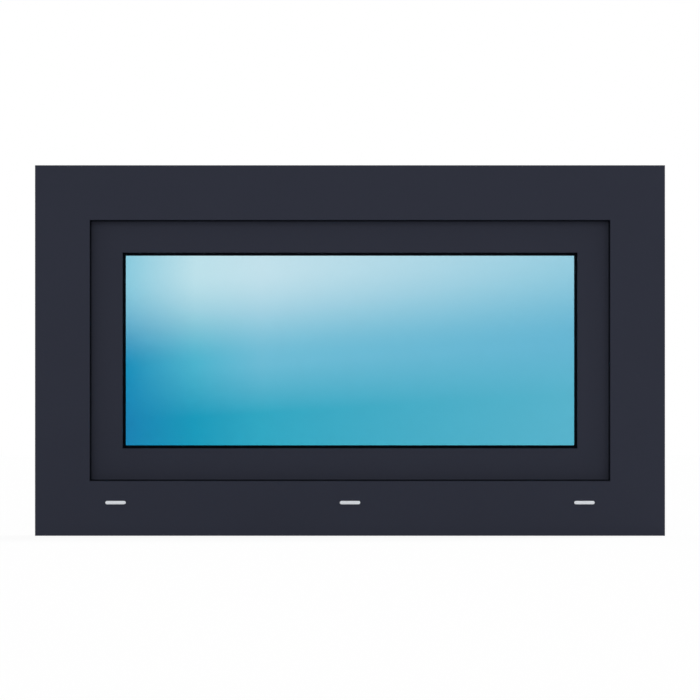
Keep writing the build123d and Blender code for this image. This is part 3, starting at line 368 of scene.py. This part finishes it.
def grainy(name, first, second, size_mm, gloss, depth_mm):
    """A plain compound, such as sealant, drying beads or packer plastic, mottled by its grain."""
    made, tree, surface, place = material(name, IOR=1.5)
    cells = node(tree, "TexVoronoi", {"Vector": place, "Scale": 1 / size_mm})
    colour_surface(tree, surface, first, (cells, second))
    roughen_surface(tree, surface, cells, gloss - 0.05, gloss + 0.05, low=0.0, high=1.0)
    raise_surface(tree, surface, cells, depth_mm)
    return made


FRAME_PROFILE = foiled_profile(
    "foiled_pvcu_frame", FRAME_LOW.y + FOIL_WRAP, REBATE_FLOOR_N, FRAME_LOW.y + LIP_DEPTH + FOIL_EDGE
)
SASH_PROFILE = foiled_profile(
    "foiled_pvcu_sash", SASH_LOW.y + FOIL_WRAP, GLAZING_FLOOR_N, SASH_LOW.y + SASH_LIP_DEPTH + FOIL_EDGE
)
BEAD_PVC = white_pvcu()
EPDM = black_epdm()
CAP_ASA = cap_plastic()
# the outer pane's glass, with a painted sky reflection in its colour
GLASS_WITH_PAINTED_SKY = glass_with_painted_sky()
CLEAR_GLASS = clear_glass()
GALVANISED = galvanised_steel()
ZINC_ALONG_X = zinc_plated_steel("zinc_plated_strip", rolled_along=0)
ZINC_ALONG_Z = zinc_plated_steel("zinc_plated_strip_upright", rolled_along=2)
ZINC_PLAIN = zinc_plated_steel("zinc_plated_steel")
DIE_CAST = die_cast_zinc()
LEVER_COAT = powder_coat("powder_coated_aluminium", "#efefed", "#f5f5f3", 0.3)
HINGE_COAT = powder_coat("powder_coated_steel", "#ececea", "#f3f3f1", 0.34)
WHITE_ABS = moulded_white()
ALUMINIUM = mill_aluminium()
SEALANT = grainy("polysulphide_sealant", "#0c0c0e", "#17171a", 2.0, 0.55, 0.05)
DRYING_BEADS = grainy("molecular_sieve_beads", "#b9a786", "#d8cbae", 1.2, 0.8, 0.3)
PACKER = grainy("polypropylene_packer", "#1c4f8e", "#255da3", 0.8, 0.42, 0.02)


# ---------------------------------------------------------------- modelling helpers
def activate(piece):
    bpy.ops.object.select_all(action="DESELECT")
    piece.select_set(True)
    bpy.context.view_layer.objects.active = piece


@contextmanager
def editing(piece, kind):
    """Edit mode with nothing selected, on vertices, edges or faces."""
    activate(piece)
    bpy.ops.object.mode_set(mode="EDIT")
    bpy.ops.mesh.select_mode(type=kind)
    bpy.ops.mesh.select_all(action="DESELECT")
    yield
    bpy.ops.object.mode_set(mode="OBJECT")


def choose(piece, kind, test):
    """Selects only the faces or edges that pass the test."""
    bpy.ops.mesh.select_all(action="DESELECT")
    mesh = bmesh.from_edit_mesh(piece.data)
    for item in getattr(mesh, kind):
        if test(item):
            item.select_set(True)
    bmesh.update_edit_mesh(piece.data)


def runs_along(axis):
    """Edges that run along an axis, 0, 1 or 2."""
    def test(edge):
        run = edge.verts[1].co - edge.verts[0].co
        return abs(run[axis]) > 0.99 * run.length
    return test


def lies_at(axis, place):
    """Edges or faces that lie wholly at a place on an axis."""
    return lambda item: all(abs(vertex.co[axis] - place) < 0.02 * MM for vertex in item.verts)


def paint(piece, finish):
    piece.data.materials.clear()
    piece.data.materials.append(finish)


def apply_modifier(piece, kind, **settings):
    activate(piece)
    bpy.ops.object.modifier_add(type=kind)
    modifier = piece.modifiers[-1]
    for name, value in settings.items():
        setattr(modifier, name, value)
    bpy.ops.object.modifier_apply(modifier=modifier.name)


def apply_place(piece):
    activate(piece)
    bpy.ops.object.transform_apply(location=True, rotation=True, scale=True)


def round_edges(piece, radius, sharper_than, **settings):
    """Rounds every edge that is sharper than so many degrees, in two steps."""
    angle = math.radians(sharper_than)
    apply_modifier(
        piece, "BEVEL", width=radius, segments=2, limit_method="ANGLE", angle_limit=angle, **settings
    )


def smooth(piece, degrees):
    activate(piece)
    bpy.ops.object.shade_smooth_by_angle(angle=math.radians(degrees))


def named(name):
    """The primitive that was just added, with its place in its mesh."""
    piece = bpy.context.object
    piece.name = piece.data.name = name
    apply_place(piece)
    return piece


def cube(name, low, high):
    """A box between two corners, ready to be shaped."""
    low, high = Vector(low), Vector(high)
    bpy.ops.mesh.primitive_cube_add(size=1, location=(low + high) / 2, scale=high - low)
    return named(name)


def cut_away(piece, cutter):
    apply_modifier(piece, "BOOLEAN", object=cutter, operation="DIFFERENCE", solver="EXACT")
    bpy.data.objects.remove(cutter)


def copy_of(piece, name, shift):
    """A copy with its own mesh, moved along X by a shift that goes into the mesh."""
    made = piece.copy()
    made.data = piece.data.copy()
    made.name = made.data.name = name
    made.location.x = shift
    bpy.context.scene.collection.objects.link(made)
    apply_place(made)
    return made


def stand_in(piece, node_name, finish):
    """Puts a finished piece in a construction node's place, on its body, and paints it with the given finish.
    """
    paint(piece, finish)
    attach(piece, NODES[node_name]["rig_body"])
    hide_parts(node_name)


def softened(node_name, finish, radius, clamp=False):
    """A construction node with its sharp edges rounded, as pressing, moulding and tumbling leave them.

    Clamping narrows the rounding where edges are short.
    """
    piece = bpy.data.objects.new(f"{node_name}_soft", NODES[node_name].data.copy())
    piece.data.name = piece.name
    bpy.context.scene.collection.objects.link(piece)
    with editing(piece, "VERT"):
        bpy.ops.mesh.select_all(action="SELECT")
        bpy.ops.mesh.remove_doubles(threshold=0.001 * MM)
        bpy.ops.mesh.dissolve_limited(angle_limit=math.radians(1))
        bpy.ops.mesh.customdata_custom_splitnormals_clear()
    round_edges(piece, radius, 28, miter_outer="MITER_ARC", use_clamp_overlap=clamp)
    with editing(piece, "VERT"):  # slivers of no width that rounding leaves where two edges meet
        bpy.ops.mesh.select_all(action="SELECT")
        bpy.ops.mesh.remove_doubles(threshold=0.005 * MM)
        bpy.ops.mesh.dissolve_degenerate(threshold=0.005 * MM)
    smooth(piece, 60)
    apply_modifier(piece, "WEIGHTED_NORMAL", keep_sharp=True)  # flat faces stay flat beside the rounding
    stand_in(piece, node_name, finish)


# ---------------------------------------------------------------- handle
HANDLE_X = 0.0
HANDLE_Z = (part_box("handle_spindle")[0].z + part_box("handle_spindle")[1].z) / 2
LEVER_LOW, LEVER_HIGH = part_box("handle_lever")
LEVER_MIDDLE_Y = LEVER_HIGH.y - 5 * MM
NECK_RADIUS = -LEVER_LOW.x
NECK_GAP = 0.5 * MM
FACING_ROOM = (math.radians(-90), 0, 0)  # turns +Z to +Y


def turn_ring(place, lean):
    bpy.ops.transform.rotate(value=math.radians(lean), orient_axis="Z", center_override=place)


def handle_lever():
    """A round neck that leans over into a flat oval lever, drawn out ring by ring."""
    foot = Vector((HANDLE_X, LEVER_LOW.y, HANDLE_Z))
    bpy.ops.mesh.primitive_circle_add(
        vertices=20, radius=NECK_RADIUS, fill_type="NGON", location=foot, rotation=FACING_ROOM
    )
    lever = named("lever_handle")
    tip = (LEVER_HIGH.x - HANDLE_X) / MM
    top = (LEVER_MIDDLE_Y - foot.y) / MM
    neck = NECK_RADIUS / MM
    # x, distance above the foot, lean in degrees, half depth and half height, in millimetres
    rings = [
        (0, 1.5, 0, neck, neck),
        (0, top - 14, 0, neck, neck),
        (0.6, top - 8, 14, 8.8, neck),
        (2.4, top - 3.6, 38, 7.4, neck),
        (6.4, top - 0.7, 68, 5.8, neck),
        (13, top, 90, 5.0, neck),
        (tip * 0.45, top, 90, 4.9, 8.6),
        (tip * 0.8, top, 90, 4.6, 8.2),
        (tip - 6, top, 90, 4.3, 7.7),
        (tip - 2.2, top, 90, 3.7, 6.6),
        (tip - 0.2, top, 90, 2.4, 4.6),
    ]
    place, lean, depth, height = foot, 0, neck, neck
    with editing(lever, "FACE"):
        bpy.ops.mesh.select_all(action="SELECT")
        for x, rise, new_lean, new_depth, new_height in rings:
            bpy.ops.mesh.extrude_region_move()
            turn_ring(place, -lean)
            sizes = (new_depth / depth, 1, new_height / height)
            bpy.ops.transform.resize(value=sizes, center_override=place)
            turn_ring(place, new_lean)
            new_place = foot + Vector((x, rise, 0)) * MM
            bpy.ops.transform.translate(value=new_place - place)
            place, lean, depth, height = new_place, new_lean, new_depth, new_height
        bpy.ops.mesh.inset(thickness=1.2 * MM)
        bpy.ops.mesh.select_all(action="SELECT")
        bpy.ops.mesh.normals_make_consistent(inside=False)
    apply_modifier(lever, "SUBSURF", levels=2, render_levels=2)
    smooth(lever, 60)
    stand_in(lever, "handle_lever", LEVER_COAT)


PANEL_MARGIN = 1.5 * MM
PANEL_SLOPE = 0.35 * MM


def shell_cap(name, low, high, corner, crown, wall, step):
    """A moulded cap: round corners, a soft crown, a shallow sunk panel, and a hollow back towards -Y."""
    cap = cube(name, low, high)
    with editing(cap, "EDGE"):
        choose(cap, "edges", runs_along(1))
        bpy.ops.mesh.bevel(offset=corner, segments=8, affect="EDGES")
        choose(cap, "edges", lies_at(1, high.y))
        bpy.ops.mesh.bevel(offset=crown, segments=4, affect="EDGES")
    with editing(cap, "FACE"):
        choose(cap, "faces", lies_at(1, high.y))
        bpy.ops.mesh.inset(thickness=PANEL_MARGIN)
        bpy.ops.mesh.inset(thickness=PANEL_SLOPE)
        bpy.ops.transform.translate(value=(0, -step, 0))
        choose(cap, "faces", lies_at(1, low.y))
        bpy.ops.mesh.inset(thickness=wall)
        hollow = high.y - low.y - step - wall
        bpy.ops.mesh.extrude_region_move(TRANSFORM_OT_translate={"value": (0, hollow, 0)})
    return cap


def handle_cover():
    """The cap over the rosette, with a round hole for the neck."""
    low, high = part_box("handle_cover")
    cap = shell_cap("rosette_cap", low, high, corner=7.6 * MM, crown=1.6 * MM, wall=1.4 * MM, step=0.25 * MM)
    bpy.ops.mesh.primitive_cylinder_add(
        vertices=64, radius=NECK_RADIUS + NECK_GAP, depth=40 * MM, location=(HANDLE_X, high.y, HANDLE_Z),
        rotation=(math.radians(90), 0, 0),
    )
    cut_away(cap, named("neck_hole"))
    round_edges(cap, 0.25 * MM, 50)
    smooth(cap, 25)
    stand_in(cap, "handle_cover", WHITE_ABS)


# ---------------------------------------------------------------- drain caps
HOOD_WALL = 0.9 * MM
HOOD_END = 4 * MM  # solid ends beside the mouth


def drain_caps():
    """Three hooded caps with round ends and a soft crown. Water leaves at the open lower edge."""
    low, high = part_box("drain_cap_middle")
    front, back = low.y, FRAME_LOW.y
    first = cube("drain_hood_middle", low, (high.x, back, high.z))
    with editing(first, "EDGE"):
        choose(first, "edges", runs_along(1))
        # a little short of half the height, then merged into a full round end
        bpy.ops.mesh.bevel(offset=(high.z - low.z) / 2 - 0.01 * MM, segments=10, affect="EDGES")
        bpy.ops.mesh.select_all(action="SELECT")
        bpy.ops.mesh.remove_doubles(threshold=0.03 * MM)
        choose(first, "edges", lies_at(1, front))
        bpy.ops.mesh.bevel(offset=0.7 * MM, segments=4, affect="EDGES")
    mouth_low = Vector((low.x + HOOD_END, front + HOOD_WALL, low.z - MM))
    mouth_high = Vector((high.x - HOOD_END, back + MM, high.z - HOOD_WALL))
    cut_away(first, cube("hood_mouth", mouth_low, mouth_high))
    smooth(first, 40)
    for side in ("left", "right"):
        node_name = f"drain_cap_{side}"
        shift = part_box(node_name)[0].x - low.x
        stand_in(copy_of(first, f"drain_hood_{side}", shift), node_name, CAP_ASA)
    stand_in(first, "drain_cap_middle", CAP_ASA)


# ---------------------------------------------------------------- hinge caps
HINGE_CAP_WALL = 1.3 * MM
HINGE_CAP_FRONT = 1.6 * MM


def hinge_covers():
    """Two caps that clip over the sash leaves, each with a mouth at its lower edge for the leaf."""
    low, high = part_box("hinge_covers")
    leaf_low, leaf_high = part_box("hinge_sash_leaf_left")
    half = (leaf_high.x - leaf_low.x) / 2 + 1.6 * MM
    middle = high.x - half
    corner = Vector((middle - half, low.y, low.z))
    first = shell_cap(
        "hinge_cap_right", corner, high, corner=4 * MM, crown=1.8 * MM, wall=HINGE_CAP_WALL, step=0.2 * MM
    )
    mouth_low = (middle - half + HINGE_CAP_WALL, low.y - MM, low.z - MM)
    mouth_high = (middle + half - HINGE_CAP_WALL, high.y - HINGE_CAP_FRONT, low.z + 3 * MM)
    cut_away(first, cube("hinge_cap_mouth", mouth_low, mouth_high))
    round_edges(first, 0.2 * MM, 50)
    smooth(first, 25)
    second = copy_of(first, "hinge_cap_left", -2 * middle)
    stand_in(first, "hinge_covers", WHITE_ABS)
    stand_in(second, "hinge_covers", WHITE_ABS)


# ---------------------------------------------------------------- locking cams
CAM_STEM = 3.0 * MM
CAM_STEM_LENGTH = 7.1 * MM
CAM_HEAD = 6.0 * MM


def locking_cams():
    """Mushroom cams: a stem, a roller and a domed head with a hexagon socket for adjustment."""
    low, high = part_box("locking_cams")
    x, y = high.x - CAM_HEAD, (low.y + high.y) / 2
    stem_top = low.z + CAM_STEM_LENGTH
    bpy.ops.mesh.primitive_cylinder_add(
        vertices=48, radius=CAM_STEM, depth=CAM_STEM_LENGTH, location=(x, y, low.z + CAM_STEM_LENGTH / 2)
    )
    cam = named("mushroom_cam_right")
    axis = Vector((x, y, stem_top))
    # radius and height of each ring above the stem, in millimetres
    rings = [
        (4.6, 0), (5.0, 0.4), (5.0, 4.2), (4.7, 4.5), (5.6, 4.5), (6.0, 4.9), (6.0, 5.9), (5.5, 6.5),
        (4.6, 6.8),
    ]
    radius, height = CAM_STEM / MM, 0.0
    with editing(cam, "FACE"):
        choose(cam, "faces", lies_at(2, stem_top))
        for new_radius, new_height in rings:
            rise = (new_height - height) * MM
            bpy.ops.mesh.extrude_region_move(TRANSFORM_OT_translate={"value": (0, 0, rise)})
            ratio = new_radius / radius
            bpy.ops.transform.resize(value=(ratio, ratio, 1), center_override=axis)
            radius, height = new_radius, new_height
    bpy.ops.mesh.primitive_cylinder_add(
        vertices=6, radius=2.3 * MM, depth=5 * MM, location=(x, y, high.z + 0.3 * MM)
    )
    cut_away(cam, named("hexagon_socket"))
    smooth(cam, 30)
    second = copy_of(cam, "mushroom_cam_left", -2 * x)
    stand_in(cam, "locking_cams", ZINC_PLAIN)
    stand_in(second, "locking_cams", ZINC_PLAIN)


# ---------------------------------------------------------------- finishes on the construction's own nodes
FINISHES = {
    FRAME_PROFILE: ["frame_head", "frame_sill", "frame_jamb_left", "frame_jamb_right"],
    SASH_PROFILE: ["sash_head", "sash_sill", "sash_stile_left", "sash_stile_right"],
    BEAD_PVC: ["glazing_bead_top", "glazing_bead_bottom", "glazing_bead_left", "glazing_bead_right"],
    # the outer pane carries a painted sky reflection in its colour
    GLASS_WITH_PAINTED_SKY: ["outer_pane"],
    CLEAR_GLASS: ["inner_pane"],
    GALVANISED: ["frame_steel", "sash_steel"],
    ZINC_PLAIN: [
        "frame_steel_screws", "sash_steel_screws", "frame_hardware_screws", "sash_hardware_screws",
        "handle_screws", "hinge_pins", "handle_spindle",
    ],
    DIE_CAST: ["drive_pinion"],
    ALUMINIUM: ["spacer_bar"],
    SEALANT: ["edge_sealant"],
    DRYING_BEADS: ["desiccant"],
}
for finish, names in FINISHES.items():
    for name in names:
        paint(NODES[name], finish)


# ---------------------------------------------------------------- hardware, seals and packers with soft edges
SOFT_EDGES = {  # radius in millimetres
    EPDM: (0.5, ["frame_seal", "sash_seal", "outer_glazing_seal", "inner_glazing_seal"]),
    ZINC_ALONG_X: (0.35, ["keep_left", "keep_right", "faceplate"]),
    ZINC_ALONG_Z: (0.3, [
        "stay_bracket_left", "stay_bracket_right", "stay_arm_left", "stay_arm_right", "stay_track_left",
        "stay_track_right",
    ]),
    DIE_CAST: (0.5, ["handle_rosette"]),
    HINGE_COAT: (0.35, [
        "hinge_frame_leaf_left", "hinge_frame_leaf_right", "hinge_sash_leaf_left", "hinge_sash_leaf_right",
    ]),
    PACKER: (0.4, ["setting_blocks", "glazing_bridges"]),
}

handle_lever()
handle_cover()
drain_caps()
hinge_covers()
locking_cams()
for finish, (radius, names) in SOFT_EDGES.items():
    for name in names:
        softened(name, finish, radius * MM)
softened("gearbox_case", DIE_CAST, 0.5 * MM, clamp=True)
softened("drive_rod", ZINC_ALONG_X, 0.35 * MM, clamp=True)  # the screws pass close through its slots


# ---------------------------------------------------------------- studio
ROOM_LIGHT = 0.30  # the plain light of the room on every side
FLOOR_HALF = 12.0
FLOOR_OWN_WHITE = 0.86  # the rest of what the camera sees of the floor is lit, and shows shadow
FLOOR_GLOW = 1.04
LAMP_DISTANCE = 5.0
LAMP_SPREAD = 25  # degrees across, which softens the shadows


def build_world():
    """Plain light on every side. The camera and the glass see white, and gloss sees it on the room side."""
    world = bpy.data.worlds.new("studio")
    world.use_nodes = True
    tree = world.node_tree
    tree.nodes.clear()
    rays = node(tree, "LightPath").outputs
    direction = node(tree, "TexCoord").outputs["Generated"]
    roomward = node(tree, "SeparateXYZ", [direction]).outputs[1]
    behind = node(tree, "MapRange", [roomward, -0.2, 0.3, 0.0, 1.0])
    mirrored = node(tree, "Math", [rays["Is Glossy Ray"], behind], operation="MULTIPLY")
    through = node(tree, "Math", [mirrored, rays["Is Transmission Ray"]], operation="MAXIMUM")
    seen = node(tree, "Math", [rays["Is Camera Ray"], through], operation="MAXIMUM")
    strength = node(tree, "Mix", {FACTOR: seen, FIRST_NUMBER: ROOM_LIGHT, SECOND_NUMBER: 1.0})
    light = node(tree, "Background", {"Strength": strength, "Color": "#ffffff"})
    node(tree, "OutputWorld", {"Surface": light})
    bpy.context.scene.world = world


def build_floor():
    """A wide white floor. Most of its white is its own, so that the object's shadow shows only faintly."""
    bpy.ops.mesh.primitive_plane_add(size=2 * FLOOR_HALF, location=(0, 0, -0.1 * MM))
    floor = bpy.context.object
    floor.name = "floor"
    made = bpy.data.materials.new("white_studio_floor")
    made.use_nodes = True
    tree = made.node_tree
    tree.nodes.clear()
    matt = node(tree, "BsdfDiffuse", {"Color": "#f2f2f2"})
    rays = node(tree, "LightPath").outputs
    through = rays["Is Transmission Ray"]
    white = node(tree, "Mix", {FACTOR: through, FIRST_NUMBER: FLOOR_GLOW, SECOND_NUMBER: 1.0})
    glow = node(tree, "Emission", {"Strength": white})
    direct = node(tree, "Math", [rays["Is Camera Ray"], rays["Is Glossy Ray"]], operation="MAXIMUM")
    own = node(tree, "Math", [direct, FLOOR_OWN_WHITE], operation="MULTIPLY")
    share = node(tree, "Math", [own, through], operation="MAXIMUM")
    shader = node(tree, "MixShader", [share, matt, glow])
    node(tree, "OutputMaterial", {"Surface": shader})
    paint(floor, made)


def add_lamp(name, azimuth, elevation, strength):
    """A broad, soft lamp far away. Azimuth 0 is the weather side and 180 the room side."""
    a, e = math.radians(azimuth), math.radians(elevation)
    towards = Vector((math.sin(a) * math.cos(e), -math.cos(a) * math.cos(e), math.sin(e)))
    turn = towards.to_track_quat("Z", "Y").to_euler()
    bpy.ops.object.light_add(type="SUN", location=towards * LAMP_DISTANCE, rotation=turn)
    lamp = bpy.context.object
    lamp.name = name
    lamp.data.energy = strength
    lamp.data.angle = math.radians(LAMP_SPREAD)


def build_lamps():
    """Even light on the flat weather side, and a key and a fill on the room side, where the relief is."""
    for side in (-1, 1):
        add_lamp(f"lamp_front_{side}", 14 * side, 12, 0.62)
        add_lamp(f"lamp_side_{side}", 90 * side, 35, 0.45)
    add_lamp("lamp_room_key", 180 - 38, 42, 1.1)
    add_lamp("lamp_room_fill", 180 + 45, 12, 0.35)


LENS = 600.0
SENSOR = 36.0
FRAME_SHARE = 0.9  # of the picture's width
CAMERA_LIFT = 0.7 * MM  # above the middle of the window


def build_camera():
    """A long lens square on to the weather side, at the middle of the window."""
    bpy.ops.object.camera_add()
    camera = bpy.context.object
    camera.name = "camera"
    camera.data.lens = LENS
    camera.data.sensor_width = SENSOR
    distance = 2 * HALF_WIDTH / FRAME_SHARE * LENS / SENSOR
    camera.location = (0, FRAME_LOW.y - distance, HALF_HEIGHT + CAMERA_LIFT)
    camera.rotation_euler = (math.radians(90), 0, 0)
    camera.data.clip_start = 0.1
    camera.data.clip_end = 200
    bpy.context.scene.camera = camera


build_world()
build_floor()
build_lamps()
build_camera()
bpy.context.scene.view_settings.view_transform = "Standard"
